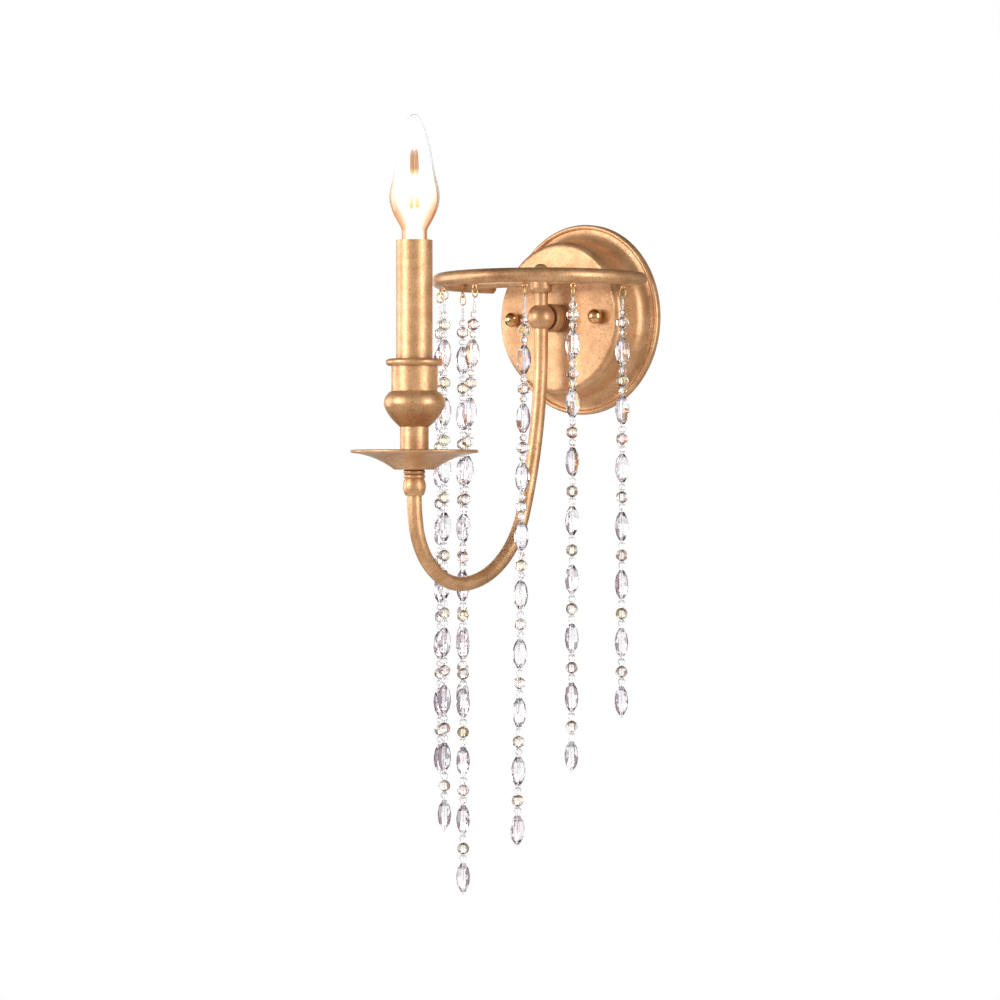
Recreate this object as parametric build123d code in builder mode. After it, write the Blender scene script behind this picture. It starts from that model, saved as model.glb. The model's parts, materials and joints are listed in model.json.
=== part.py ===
"""Crystal wall sconce with one candle light, in millimetres.

The wall is the plane Y = 0 and the room is on its -Y side. X points right for someone who faces the
wall, and Z points up. The origin is on the wall, on the axis of the round backplate.
"""

import os
from math import asin, cos, degrees, pi, radians, sin

from build123d import *

os.makedirs("parts", exist_ok=True)

# ---- Clearances ----
socket_gap = 0.1      # radial, between a spigot or a tube and its socket
thread_gap = 0.1      # radial, between a stud or a nipple and what it passes through
sleeve_gap = 0.3      # radial, around the candle sleeve in its cup
holder_gap = 0.9      # radial, around the lamp holder in the candle sleeve
cap_gap = 0.1         # radial, around the lamp's cap in the screw shell
end_gap = 0.1         # between the end of one piece and the next one along its axis
link_gap = 0.1        # between a link and the wire that it hangs on
glass_gap = 0.6       # between the lamp holder's mouth and the foot of the glass

# ---- Backplate: a spun pan with a rolled rim ----
plate_r = 63.0
plate_depth = 28.5
plate_wall = 1.2
rim_height = 2.6      # straight part of the rim, up to its bead
bead_r = 1.6
cove_r = 9.0
shoulder_r = 4.0
side_draft = 0.6      # how much wider the side is at the cove than at the shoulder

# ---- Wall bracket and its fixings ----
bracket_length = 110.0
bracket_width = 20.0
bracket_thickness = 1.8
bracket_corner_r = 4.0
box_screw_spacing = 89.0
box_slot_length = 10.0
box_slot_width = 4.6
stud_spacing = 70.0
stud_r = 2.0
stud_nut_flats = 7.0
stud_nut_height = 3.2
cap_nut_ball_r = 4.8
cap_nut_base_r = 3.6
cap_nut_base_height = 5.1  # from the plate to the middle of the ball
cap_nut_bore_depth = 7.0
ground_screw_x = 18.0
ground_screw_r = 1.9
ground_screw_head_r = 3.6
ground_screw_head_height = 2.2
ground_screw_slot = 0.9

# ---- Threaded nipples, their nuts and washer ----
nipple_r = 4.75
nipple_bore_r = 3.2
nipple_nut_flats = 14.0
nipple_nut_height = 4.0
nipple_tail = 5.0     # thread left over past a nut
washer_r = 8.0
washer_thickness = 1.0
washer_split = 1.2

# ---- Hub in front of the plate: collar, ball, post, ring hub, finial ----
rod_reach = 46.0      # from the wall to the vertical axis of ball, post and ring
ball_r = 8.9
ball_chamber_r = 3.7
chamber_wall = 1.2    # between the chamber and the nipple's front end
collar_r = 9.2
collar_seat = 1.8     # how far the ball's back sinks into the collar
collar_chamfer = 1.2
collar_groove = 0.7
collar_groove_place = 1.8  # of each of the two grooves from the one before
post_r = 4.5
post_seat = 3.2       # how deep the post sits in the ball
spigot_r = 1.8
ring_height = 23.5    # of the ring's centre plane above the plate's axis
hub_r = 7.5
hub_foot_r = 5.8
hub_below = 7.6       # from the hub's foot to the ring's centre plane
hub_above = 5.2       # from that plane to the hub's top
hub_flare = 4.2       # height of the cove at the foot
hub_shoulder = 1.6
crossbar_r = 3.0
finial_r = 4.9
finial_height = 6.4
finial_round = 4.7    # radius of its domed top's edge
finial_bore_depth = 3.8

# ---- Ring that carries the strands: open towards the wall ----
ring_r = 67.0         # to the centre of its bar
ring_bar_r = 4.6
ring_end_angle = 113.0  # of each cut end, measured from the side that faces the room
ring_end_chamfer = 0.6

# ---- Arm: a bent tube made of tangent bends, from the ball down and up again ----
arm_r = 4.6
arm_wall = 1.2
arm_seat = 3.8        # how deep the tube sits in the ball
arm_drop = 11.8       # straight part, from the tube's end in the ball
arm_bends = ((340.0, 19.0), (66.0, 68.0), (45.0, 83.0), (110.0, 10.0))  # radius, turn in degrees

# ---- Candle column, from the arm's end up ----
coupling_height = 16.1
coupling_seat = 11.8  # how deep the arm sits in the coupling
coupling_foot_wall = 0.9  # around the arm
coupling_ball_r = 7.2
coupling_neck_r = 6.0
coupling_ring_r = 6.8
coupling_ring_height = 2.8
pan_r = 39.9
pan_foot_r = 12.6
pan_height = 12.4
pan_wall = 1.2
pan_lip = 2.0
pan_bow = 2.2         # how far the flare's middle stands below a straight line
neck_r = 8.9
neck_height = 25.5
knob_foot_r = 9.3
knob_flank = ((14.9, 5.8), (18.0, 10.7), (19.1, 14.4), (18.6, 17.5))  # radius, height above the foot
knob_top_r = 14.5
knob_height = 22.2
cup_r = 14.4
cup_lip_r = 17.9
cup_lip_height = 4.4
cup_height = 20.0
cup_floor = 3.0
sleeve_r = 11.35
sleeve_wall = 1.0
sleeve_height = 90.7

# ---- Lamp holder and lamp ----
holder_height = 50.0
holder_below_rim = 0.5  # how far its mouth lies below the top of the sleeve
holder_foot_r = 7.2
holder_foot_height = 7.0
holder_foot_seat = 5.0  # how far the nipple enters the holder's foot
cap_r = 5.9
cap_height = 19.0
cap_tip_r = 2.6
cap_tip_height = 2.0
shell_wall = 0.3
shell_height = 17.0
shell_below_mouth = 1.0
contact_r = 2.2
contact_height = 2.0
glass_wall = 0.8
glass_neck_r = 8.2
glass_neck_height = 6.4
glass_height = 78.2
glass_flank = (  # radius and height above the foot of the glass, past its straight neck
    (12.9, 15.0),
    (16.0, 26.5),
    (13.9, 38.5),
    (11.9, 49.0),
    (9.6, 60.5),
    (6.6, 70.5),
)
glass_tip_r = 3.0     # of its rounded tip
glass_tip_turn = radians(45)  # slope at which the flank meets the tip, from upright
stem_foot_r = 5.0
stem_r = 2.6
stem_height = 18.5
filament_foot = 19.5  # of the two glowing sticks, above the foot of the glass
filament_length = 37.0
filament_r = 0.95
filament_spread = 2.6  # of a stick's foot from the axis
filament_lean = 1.0   # how much nearer to the axis its top is
filament_wire_r = 0.3

# ---- Leads inside the arm ----
lead_r = 0.9
lead_offset = 1.15
lead_bend_r = 3.0
lead_tail = 8.0       # from the wall to the leads' ends in the plate's hollow
neutral_short = 3.0   # how far the neutral lead ends below the live one

# ---- Strands ----
strand_angles = (-90.0, -60.0, -30.0, 0.0, 30.0, 56.3, 90.0)  # around the ring, from left to right
strand_units = (7, 8, 9, 10, 9, 8, 7)  # round and oval pairs on each strand
strand_sway = (0.0, 0.0, 0.0, 0.0, 0.8, 0.2, 0.3)  # degrees off plumb, along the ring
first_round_drop = (31.6, 33.7, 29.7, 30.7, 34.9, 25.2, 29.1)  # of the top round bead below the ring's plane
bead_gap = 0.4        # of bare thread, between an oval bead and the spacers beside it
eye_r = 1.45
eye_wire_r = 0.45
eye_below_ring = 0.1
eye_shank = 3.0
link_wire_r = 0.4
link_end_r = 2.4
link_straight = 1.4
loop_r = 0.85
loop_wire_r = 0.25
crimp_r = 0.7
crimp_height = 1.2
loop_sides = 6
thread_r = 0.4
bead_bore_r = 0.6
round_r = 4.0
round_half = 3.8
oval_r = 5.0
oval_half = 9.4
oval_end_r = 1.9
spacer_r = 2.5
spacer_half = 2.5
bead_sides = 8
spacer_sides = 5
wire_sides = 4
arm_clearance = 0.5   # between the middle strand and the arm that it hangs past
bend_unit = 4         # the middle strand turns vertical above its round bead of this number,
                      # where its thread is bare between an oval bead and the next spacer

# ---- Planes and axes that the pieces share ----
wall_plane = Plane.XZ
side_plane = Plane.YZ
rod_plane = Plane((0, -rod_reach, 0), x_dir=(1, 0, 0), z_dir=(0, -1, 0))
rod_axis = Axis((0, -rod_reach, 0), (0, 0, 1))


def save(piece, name):
    """Labels a finished piece and writes its file."""
    piece.part.label = name
    export_step(piece.part, f"parts/{name}.step")


def rod_level(height):
    """The horizontal plane at this height, with its origin on the ring's axis."""
    return Plane((0, -rod_reach, height))


# ================= Backplate and what fixes it to the wall =================

groove_r = plate_r - 2 * bead_r
cove_top = rim_height + cove_r
cove_wall_r = groove_r - cove_r
shoulder_side_r = cove_wall_r - side_draft
shoulder_foot = plate_depth - shoulder_r
disc_r = shoulder_side_r - shoulder_r
bow = shoulder_r * (1 - cos(pi / 4))

with BuildPart() as backplate:
    with BuildSketch(Plane.XY):
        with BuildLine():
            Polyline((0, -plate_depth), (0, 0), (plate_r, 0), (plate_r, -rim_height))
            ThreePointArc(
                (plate_r, -rim_height), (plate_r - bead_r, -rim_height - bead_r), (groove_r, -rim_height)
            )
            ThreePointArc(
                (groove_r, -rim_height),
                (cove_wall_r + cove_r * (1 - cos(pi / 4)), -rim_height - cove_r * (1 - sin(pi / 4))),
                (cove_wall_r, -cove_top),
            )
            Line((cove_wall_r, -cove_top), (shoulder_side_r, -shoulder_foot))
            ThreePointArc(
                (shoulder_side_r, -shoulder_foot),
                (shoulder_side_r - bow, -plate_depth + bow),
                (disc_r, -plate_depth),
            )
            Line((disc_r, -plate_depth), (0, -plate_depth))
        make_face()
    revolve(axis=Axis.Y)
    offset(amount=-plate_wall, openings=backplate.faces().sort_by(Axis.Y)[-1])
    with BuildSketch(wall_plane.offset(plate_depth - 2 * plate_wall)):
        Circle(nipple_r + thread_gap)
        with GridLocations(stud_spacing, 1, 2, 1):
            Circle(stud_r + thread_gap)
    extrude(amount=3 * plate_wall, mode=Mode.SUBTRACT)
save(backplate, "backplate")

with BuildPart() as mounting_bracket:
    with BuildSketch(wall_plane):
        RectangleRounded(bracket_length, bracket_width, bracket_corner_r)
        Circle(nipple_r + thread_gap, mode=Mode.SUBTRACT)
        with GridLocations(stud_spacing, 1, 2, 1):
            Circle(stud_r + thread_gap, mode=Mode.SUBTRACT)
        with GridLocations(box_screw_spacing, 1, 2, 1):
            SlotOverall(box_slot_length, box_slot_width, mode=Mode.SUBTRACT)
        with Locations((ground_screw_x, 0)):
            Circle(ground_screw_r + thread_gap, mode=Mode.SUBTRACT)
    extrude(amount=bracket_thickness)
save(mounting_bracket, "mounting_bracket")

with BuildPart() as ground_screw:
    with BuildSketch(wall_plane):
        with Locations((ground_screw_x, 0)):
            Circle(ground_screw_r)
    extrude(amount=bracket_thickness)
    with BuildSketch(wall_plane.offset(bracket_thickness)):
        with Locations((ground_screw_x, 0)):
            Circle(ground_screw_head_r)
    extrude(amount=ground_screw_head_height)
    with BuildSketch(wall_plane.offset(bracket_thickness + ground_screw_head_height / 2)):
        with Locations((ground_screw_x, 0)):
            Rectangle(3 * ground_screw_head_r, ground_screw_slot)
    extrude(amount=ground_screw_head_height, mode=Mode.SUBTRACT)
save(ground_screw, "ground_screw")

with BuildPart() as mounting_studs:
    with BuildSketch(wall_plane):
        with GridLocations(stud_spacing, 1, 2, 1):
            Circle(stud_r)
    extrude(amount=plate_depth + cap_nut_bore_depth - end_gap)
save(mounting_studs, "mounting_studs")

with BuildPart() as stud_lock_nuts:
    with BuildSketch(wall_plane.offset(bracket_thickness)):
        with GridLocations(stud_spacing, 1, 2, 1):
            RegularPolygon(stud_nut_flats / 2, 6, major_radius=False)
            Circle(stud_r + thread_gap, mode=Mode.SUBTRACT)
    extrude(amount=stud_nut_height)
save(stud_lock_nuts, "stud_lock_nuts")

with BuildPart() as cap_nuts:
    with BuildSketch(wall_plane.offset(plate_depth)):
        with GridLocations(stud_spacing, 1, 2, 1):
            Circle(cap_nut_base_r)
    extrude(amount=cap_nut_base_height)
    with Locations(*[(side * stud_spacing / 2, -plate_depth - cap_nut_base_height, 0) for side in (-1, 1)]):
        Sphere(cap_nut_ball_r)
    with BuildSketch(wall_plane.offset(plate_depth)):
        with GridLocations(stud_spacing, 1, 2, 1):
            Circle(stud_r + thread_gap)
    extrude(amount=cap_nut_bore_depth, mode=Mode.SUBTRACT)
save(cap_nuts, "cap_nuts")

# ================= Hub: what joins the plate, the arm and the ring =================

ball_back = rod_reach - ball_r
collar_length = ball_back + collar_seat - plate_depth
nipple_front = rod_reach - ball_chamber_r - chamber_wall
washer_back = plate_depth - plate_wall - washer_thickness
nipple_back = washer_back - nipple_nut_height - nipple_tail

with BuildPart() as centre_nipple:
    with BuildSketch(wall_plane.offset(nipple_back)):
        Circle(nipple_r)
        Circle(nipple_bore_r, mode=Mode.SUBTRACT)
    extrude(amount=nipple_front - nipple_back)
save(centre_nipple, "centre_nipple")

with BuildPart() as lock_washer:
    with BuildSketch(wall_plane.offset(washer_back)):
        Circle(washer_r)
        Circle(nipple_r + thread_gap, mode=Mode.SUBTRACT)
        with Locations((0, washer_r)):
            Rectangle(washer_split, 2 * washer_r - nipple_r, mode=Mode.SUBTRACT)
    extrude(amount=washer_thickness)
save(lock_washer, "lock_washer")

with BuildPart() as plate_collar:
    with BuildSketch(wall_plane.offset(plate_depth)):
        Circle(collar_r)
    extrude(amount=collar_length)
    chamfer(plate_collar.faces().sort_by(Axis.Y)[0].edges(), collar_chamfer)
    for groove in (1, 2):
        with BuildSketch(wall_plane.offset(plate_depth + groove * collar_groove_place)):
            Circle(collar_r)
            Circle(collar_r - collar_groove, mode=Mode.SUBTRACT)
        extrude(amount=collar_groove, mode=Mode.SUBTRACT)
    with BuildSketch(wall_plane.offset(plate_depth)):
        Circle(nipple_r + thread_gap)
    extrude(amount=collar_length, mode=Mode.SUBTRACT)
    with Locations((0, -rod_reach, 0)):
        Sphere(ball_r + socket_gap, rotation=(90, 0, 0), mode=Mode.SUBTRACT)
save(plate_collar, "plate_collar")

arm_entry = arm_seat - ball_r         # height of the tube's end inside the ball
post_entry = ball_r - post_seat       # height of the post's foot inside the ball

with BuildPart() as hub_ball:
    with Locations((0, -rod_reach, 0)):
        Sphere(ball_r, rotation=(90, 0, 0))
        Sphere(ball_chamber_r, rotation=(90, 0, 0), mode=Mode.SUBTRACT)
    with BuildSketch(rod_level(-ball_r)):
        Circle(arm_r + socket_gap)
    extrude(amount=arm_seat, mode=Mode.SUBTRACT)
    with BuildSketch(rod_level(-ball_r)):
        Circle(arm_r - arm_wall)
    extrude(amount=ball_r, mode=Mode.SUBTRACT)
    with BuildSketch(rod_level(post_entry)):
        Circle(post_r + socket_gap)
    extrude(amount=ball_r, mode=Mode.SUBTRACT)
    with BuildSketch(wall_plane.offset(ball_back)):
        Circle(nipple_r + thread_gap)
    extrude(amount=nipple_front - ball_back, mode=Mode.SUBTRACT)
    with BuildSketch(wall_plane.offset(ball_back)):
        Circle(nipple_bore_r)
    extrude(amount=ball_r, mode=Mode.SUBTRACT)
save(hub_ball, "hub_ball")

hub_foot = ring_height - hub_below
hub_top = ring_height + hub_above

with BuildPart() as ring_post:
    with BuildSketch(rod_level(post_entry)):
        Circle(post_r)
    extrude(amount=hub_foot - post_entry)
    with BuildSketch(rod_level(hub_foot)):
        Circle(spigot_r)
    extrude(amount=hub_top - hub_foot + finial_bore_depth - end_gap)
save(ring_post, "ring_post")

with BuildPart() as ring_hub:
    with BuildSketch(rod_plane):
        with BuildLine():
            Line((0, hub_foot), (hub_foot_r, hub_foot))
            ThreePointArc(
                (hub_foot_r, hub_foot),
                (hub_foot_r + 0.75 * (hub_r - hub_foot_r), hub_foot + 0.4 * hub_flare),
                (hub_r, hub_foot + hub_flare),
            )
            Line((hub_r, hub_foot + hub_flare), (hub_r, hub_top - hub_shoulder))
            Line((hub_r, hub_top - hub_shoulder), (hub_r - hub_shoulder, hub_top))
            Polyline((hub_r - hub_shoulder, hub_top), (0, hub_top), (0, hub_foot))
        make_face()
    revolve(axis=rod_axis)
    with BuildSketch(rod_level(hub_foot)):
        Circle(spigot_r + thread_gap)
    extrude(amount=hub_top - hub_foot, mode=Mode.SUBTRACT)
    with BuildSketch(side_plane):
        with Locations((-rod_reach, ring_height)):
            Circle(crossbar_r + socket_gap)
    extrude(amount=hub_r, both=True, mode=Mode.SUBTRACT)
save(ring_hub, "ring_hub")

with BuildPart() as crossbar:
    with BuildSketch(side_plane):
        with Locations((-rod_reach, ring_height)):
            Circle(crossbar_r)
    extrude(amount=ring_r, both=True)
    with BuildSketch(rod_level(ring_height - crossbar_r)):
        Circle(spigot_r + thread_gap)
    extrude(amount=2 * crossbar_r, mode=Mode.SUBTRACT)
    with Locations((0, -rod_reach, ring_height)):
        Torus(ring_r, ring_bar_r + socket_gap, mode=Mode.SUBTRACT)
save(crossbar, "crossbar")

with BuildPart() as finial:
    with BuildSketch(rod_level(hub_top)):
        Circle(finial_r)
    extrude(amount=finial_height)
    fillet(finial.faces().sort_by(Axis.Z)[-1].edges(), finial_round)
    with BuildSketch(rod_level(hub_top)):
        Circle(spigot_r + thread_gap)
    extrude(amount=finial_bore_depth, mode=Mode.SUBTRACT)
save(finial, "finial")

# ================= Ring and the eyelets under it =================

middle = strand_angles.index(0.0)    # the strand straight above the arm
ring_bottom = ring_height - ring_bar_r
eye_centre = ring_bottom - eye_below_ring - eye_wire_r - eye_r
hang_height = eye_centre - eye_r      # middle of the wire that a link hangs on


def around_ring(angle, height):
    """A point on the ring's circle. Angles run from the room side towards +X."""
    return Vector(ring_r * sin(radians(angle)), -rod_reach - ring_r * cos(radians(angle)), height)


def faceted_ring(section, sides, stretch=0.0):
    """A solid of flat faces around the Z axis, from a closed section of (radius, height) points.

    Its two halves stand apart by stretch along Y, joined by straight sides.
    """
    corners = []
    for side in range(sides):
        turn = 2 * pi * (side + 0.5) / sides
        shift = stretch / 2 if sin(turn) > 0 else -stretch / 2
        corners.append([Vector(r * cos(turn), r * sin(turn) + shift, z) for r, z in section])
    faces = []
    for side in range(sides):
        here, there = corners[side - 1], corners[side]
        for k in range(len(section)):
            quad = (here[k - 1], here[k], there[k], there[k - 1])
            faces.append(Face(Wire.make_polygon(quad)))
    solid = Solid(Shell(faces))
    return solid if solid.volume > 0 else Solid(Shell([-face for face in faces]))


def wire_ring(bend_r, wire_r, sides, stretch=0.0):
    """A closed ring of wire, in straight lengths whose middles lie at the bend radius."""
    corner_r = bend_r / cos(pi / sides)
    turns = [2 * pi * k / wire_sides for k in range(wire_sides)]
    section = [(corner_r + wire_r * cos(turn), wire_r * sin(turn)) for turn in turns]
    return faceted_ring(section, sides, stretch)


with BuildPart() as c_ring:
    with BuildLine(Plane.XY.offset(ring_height)) as ring_path:
        CenterArc((0, -rod_reach), ring_r, -90 - ring_end_angle, 2 * ring_end_angle)
    with BuildSketch(Plane(ring_path.line @ 0, z_dir=ring_path.line % 0)):
        Circle(ring_bar_r)
    sweep()
    chamfer(c_ring.faces().filter_by(GeomType.PLANE).edges(), ring_end_chamfer)
    for angle in strand_angles:
        with BuildSketch(Plane(around_ring(angle, ring_bottom - socket_gap))):
            Circle(eye_wire_r + socket_gap)
        extrude(amount=eye_shank + 2 * socket_gap, mode=Mode.SUBTRACT)
save(c_ring, "c_ring")

eye = wire_ring(eye_r, eye_wire_r, bead_sides)
eye_top = eye_centre + eye_r + eye_wire_r / 2  # where the shank leaves the eye

with BuildPart() as ring_eyelets:
    for angle in strand_angles:
        eye_plane = Plane(
            around_ring(angle, eye_centre),
            x_dir=(cos(radians(angle)), sin(radians(angle)), 0),
            z_dir=(sin(radians(angle)), -cos(radians(angle)), 0),
        )
        with Locations(eye_plane.location):
            add(eye)
        with BuildSketch(Plane(around_ring(angle, eye_top))):
            Circle(eye_wire_r)
        extrude(amount=ring_bottom + eye_shank - eye_top)
save(ring_eyelets, "ring_eyelets")

# ================= Arm =================

with BuildLine() as arm_flat:
    run = Line((-rod_reach, arm_entry), (-rod_reach, arm_entry - arm_drop))
    for bend_r, turn in arm_bends:
        run = JernArc(run @ 1, run % 1, bend_r, -turn)
    run = Line(run @ 1, run @ 1 + Vector(0, coupling_seat))
candle_y = (run @ 1).X
arm_top = (run @ 1).Y
arm_route = arm_flat.line.moved(side_plane.location)

with BuildPart() as arm_tube:
    with BuildSketch(rod_level(arm_entry)):
        Circle(arm_r)
        Circle(arm_r - arm_wall, mode=Mode.SUBTRACT)
    sweep(path=arm_route)
save(arm_tube, "arm_tube")

# ================= Candle column =================

candle_plane = Plane((0, candle_y, 0), x_dir=(1, 0, 0), z_dir=(0, -1, 0))
candle_axis = Axis((0, candle_y, 0), (0, 0, 1))
coupling_foot = arm_top - coupling_seat
coupling_foot_r = arm_r + coupling_foot_wall
pan_foot = coupling_foot + coupling_height
neck_foot = pan_foot + pan_wall
knob_foot = neck_foot + neck_height
cup_foot = knob_foot + knob_height
cup_top = cup_foot + cup_height
sleeve_foot = cup_foot + cup_floor
sleeve_top = sleeve_foot + sleeve_height
holder_top = sleeve_top - holder_below_rim
holder_bottom = holder_top - holder_height
candle_nipple_top = holder_bottom + holder_foot_seat


def candle_level(height):
    """The horizontal plane at this height, with its origin on the candle's axis."""
    return Plane((0, candle_y, height))


with BuildPart() as arm_coupling:
    ring_foot = pan_foot - 2 * coupling_ring_height
    with BuildSketch(candle_plane):
        with BuildLine():
            Polyline((0, pan_foot), (0, coupling_foot), (coupling_foot_r, coupling_foot))
            ThreePointArc(
                (coupling_foot_r, coupling_foot),
                (coupling_ball_r, (coupling_foot + ring_foot) / 2),
                (coupling_neck_r, ring_foot),
            )
            for foot in (ring_foot, ring_foot + coupling_ring_height):
                ThreePointArc(
                    (coupling_neck_r, foot),
                    (coupling_ring_r, foot + coupling_ring_height / 2),
                    (coupling_neck_r, foot + coupling_ring_height),
                )
            Line((coupling_neck_r, pan_foot), (0, pan_foot))
        make_face()
    revolve(axis=candle_axis)
    with BuildSketch(candle_level(coupling_foot)):
        Circle(arm_r + socket_gap)
    extrude(amount=coupling_seat, mode=Mode.SUBTRACT)
    with BuildSketch(candle_level(arm_top)):
        Circle(nipple_r + thread_gap)
    extrude(amount=pan_foot - arm_top, mode=Mode.SUBTRACT)
save(arm_coupling, "arm_coupling")

pan_top = pan_foot + pan_height
pan_lip_r = pan_r - pan_lip / 2
flare_mid_r = (pan_foot_r + pan_lip_r) / 2
flare_mid = pan_foot + (pan_height - pan_lip) / 2 + pan_bow

with BuildPart() as drip_pan:
    with BuildSketch(candle_plane):
        with BuildLine():
            Polyline((0, pan_foot + pan_wall), (0, pan_foot), (pan_foot_r, pan_foot))
            ThreePointArc(
                (pan_foot_r, pan_foot), (flare_mid_r, flare_mid), (pan_lip_r, pan_top - pan_lip)
            )
            ThreePointArc(
                (pan_lip_r, pan_top - pan_lip), (pan_r, pan_top - pan_lip / 2), (pan_lip_r, pan_top)
            )
            ThreePointArc(
                (pan_lip_r, pan_top),
                (flare_mid_r - pan_wall / 2, flare_mid + pan_wall),
                (pan_foot_r - pan_wall / 2, pan_foot + pan_wall),
            )
            Line((pan_foot_r - pan_wall / 2, pan_foot + pan_wall), (0, pan_foot + pan_wall))
        make_face()
    revolve(axis=candle_axis)
    with BuildSketch(candle_level(pan_foot)):
        Circle(nipple_r + thread_gap)
    extrude(amount=pan_wall, mode=Mode.SUBTRACT)
save(drip_pan, "drip_pan")

with BuildPart() as candle_neck:
    with BuildSketch(candle_level(neck_foot)):
        Circle(neck_r)
        Circle(nipple_r + thread_gap, mode=Mode.SUBTRACT)
    extrude(amount=neck_height)
save(candle_neck, "candle_neck")

with BuildPart() as turned_knob:
    with BuildSketch(candle_plane):
        with BuildLine():
            Polyline((0, cup_foot), (0, knob_foot), (knob_foot_r, knob_foot))
            Spline(
                (knob_foot_r, knob_foot),
                *[(r, knob_foot + height) for r, height in knob_flank],
                (knob_top_r, cup_foot),
            )
            Line((knob_top_r, cup_foot), (0, cup_foot))
        make_face()
    revolve(axis=candle_axis)
    with BuildSketch(candle_level(knob_foot)):
        Circle(nipple_r + thread_gap)
    extrude(amount=knob_height, mode=Mode.SUBTRACT)
save(turned_knob, "turned_knob")

with BuildPart() as candle_cup:
    lip_foot = cup_top - cup_lip_height
    lip_mid_r = cup_lip_r - cup_lip_height / 2
    with BuildSketch(candle_plane):
        with BuildLine():
            Polyline(
                (0, cup_top), (0, cup_foot), (cup_r, cup_foot), (cup_r, lip_foot), (lip_mid_r, lip_foot)
            )
            ThreePointArc(
                (lip_mid_r, lip_foot), (cup_lip_r, (lip_foot + cup_top) / 2), (lip_mid_r, cup_top)
            )
            Line((lip_mid_r, cup_top), (0, cup_top))
        make_face()
    revolve(axis=candle_axis)
    with BuildSketch(candle_level(sleeve_foot)):
        Circle(sleeve_r + sleeve_gap)
    extrude(amount=cup_height, mode=Mode.SUBTRACT)
    with BuildSketch(candle_level(cup_foot)):
        Circle(nipple_r + thread_gap)
    extrude(amount=cup_floor, mode=Mode.SUBTRACT)
save(candle_cup, "candle_cup")

with BuildPart() as candle_sleeve:
    with BuildSketch(candle_level(sleeve_foot)):
        Circle(sleeve_r)
        Circle(sleeve_r - sleeve_wall, mode=Mode.SUBTRACT)
    extrude(amount=sleeve_height)
save(candle_sleeve, "candle_sleeve")

with BuildPart() as candle_nipple:
    with BuildSketch(candle_level(arm_top + end_gap)):
        Circle(nipple_r)
        Circle(nipple_bore_r, mode=Mode.SUBTRACT)
    extrude(amount=candle_nipple_top - end_gap - arm_top)
save(candle_nipple, "candle_nipple")

with BuildPart() as nipple_nuts:
    for nut_plane in (wall_plane.offset(washer_back - nipple_nut_height), candle_level(sleeve_foot)):
        with BuildSketch(nut_plane):
            RegularPolygon(nipple_nut_flats / 2, 6, major_radius=False)
            Circle(nipple_r + thread_gap, mode=Mode.SUBTRACT)
        extrude(amount=nipple_nut_height)
save(nipple_nuts, "nipple_nuts")

# ================= Lamp holder and lamp =================

glass_foot = holder_top + glass_gap
cap_foot = glass_foot - cap_height
contact_foot = cap_foot - cap_tip_height - end_gap - contact_height
shell_r = cap_r + cap_gap
shell_foot = holder_top - shell_below_mouth - shell_height

with BuildPart() as lamp_holder:
    with BuildSketch(candle_level(holder_bottom)):
        Circle(holder_foot_r)
    extrude(amount=holder_foot_height)
    with BuildSketch(candle_level(holder_bottom + holder_foot_height)):
        Circle(sleeve_r - sleeve_wall - holder_gap)
    extrude(amount=holder_height - holder_foot_height)
    with BuildSketch(candle_level(contact_foot)):
        Circle(shell_r + shell_wall + socket_gap)
    extrude(amount=holder_top - contact_foot, mode=Mode.SUBTRACT)
    with BuildSketch(candle_level(holder_bottom)):
        Circle(nipple_r + thread_gap)
    extrude(amount=holder_foot_seat, mode=Mode.SUBTRACT)
    with BuildSketch(candle_level(holder_bottom)):
        with GridLocations(2 * lead_offset, 1, 2, 1):
            Circle(lead_r + socket_gap)
    extrude(amount=contact_foot - holder_bottom, mode=Mode.SUBTRACT)
save(lamp_holder, "lamp_holder")

with BuildPart() as screw_shell:
    with BuildSketch(candle_level(shell_foot)):
        Circle(shell_r + shell_wall)
        Circle(shell_r, mode=Mode.SUBTRACT)
    extrude(amount=shell_height)
save(screw_shell, "screw_shell")

with BuildPart() as centre_contact:
    with BuildSketch(candle_level(contact_foot)):
        Circle(contact_r)
    extrude(amount=contact_height)
    fillet(centre_contact.faces().sort_by(Axis.Z)[-1].edges(), contact_height / 4)
save(centre_contact, "centre_contact")

with BuildPart() as bulb_cap:
    with BuildSketch(candle_level(cap_foot)):
        Circle(cap_r)
    extrude(amount=cap_height)
    with BuildSketch(candle_level(cap_foot)):
        Circle(cap_tip_r)
    extrude(amount=-cap_tip_height)
    chamfer(bulb_cap.faces().sort_by(Axis.Z)[0].edges(), cap_tip_height / 3)
save(bulb_cap, "bulb_cap")


tip_round = glass_foot + glass_height - glass_tip_r

with BuildPart() as bulb_glass:
    with BuildSketch(candle_plane):
        with BuildLine():
            for inset in (0, glass_wall):
                neck = (glass_neck_r - inset, glass_foot + glass_neck_height)
                flank = [(r - inset, glass_foot + height) for r, height in glass_flank]
                tip_r = glass_tip_r - inset
                tip_side = (tip_r * cos(glass_tip_turn), tip_round + tip_r * sin(glass_tip_turn))
                tip_run = (-sin(glass_tip_turn), cos(glass_tip_turn))
                Line((glass_neck_r - inset, glass_foot), neck)
                Spline(neck, *flank, tip_side, tangents=((1, 2), tip_run))
                ThreePointArc(
                    tip_side,
                    (
                        tip_r * cos((glass_tip_turn + pi / 2) / 2),
                        tip_round + tip_r * sin((glass_tip_turn + pi / 2) / 2),
                    ),
                    (0, tip_round + tip_r),
                )
            Line((glass_neck_r - glass_wall, glass_foot), (glass_neck_r, glass_foot))
            Line((0, tip_round + glass_tip_r - glass_wall), (0, tip_round + glass_tip_r))
        make_face()
    revolve(axis=candle_axis)
save(bulb_glass, "bulb_glass")

stem_top = glass_foot + stem_height

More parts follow.
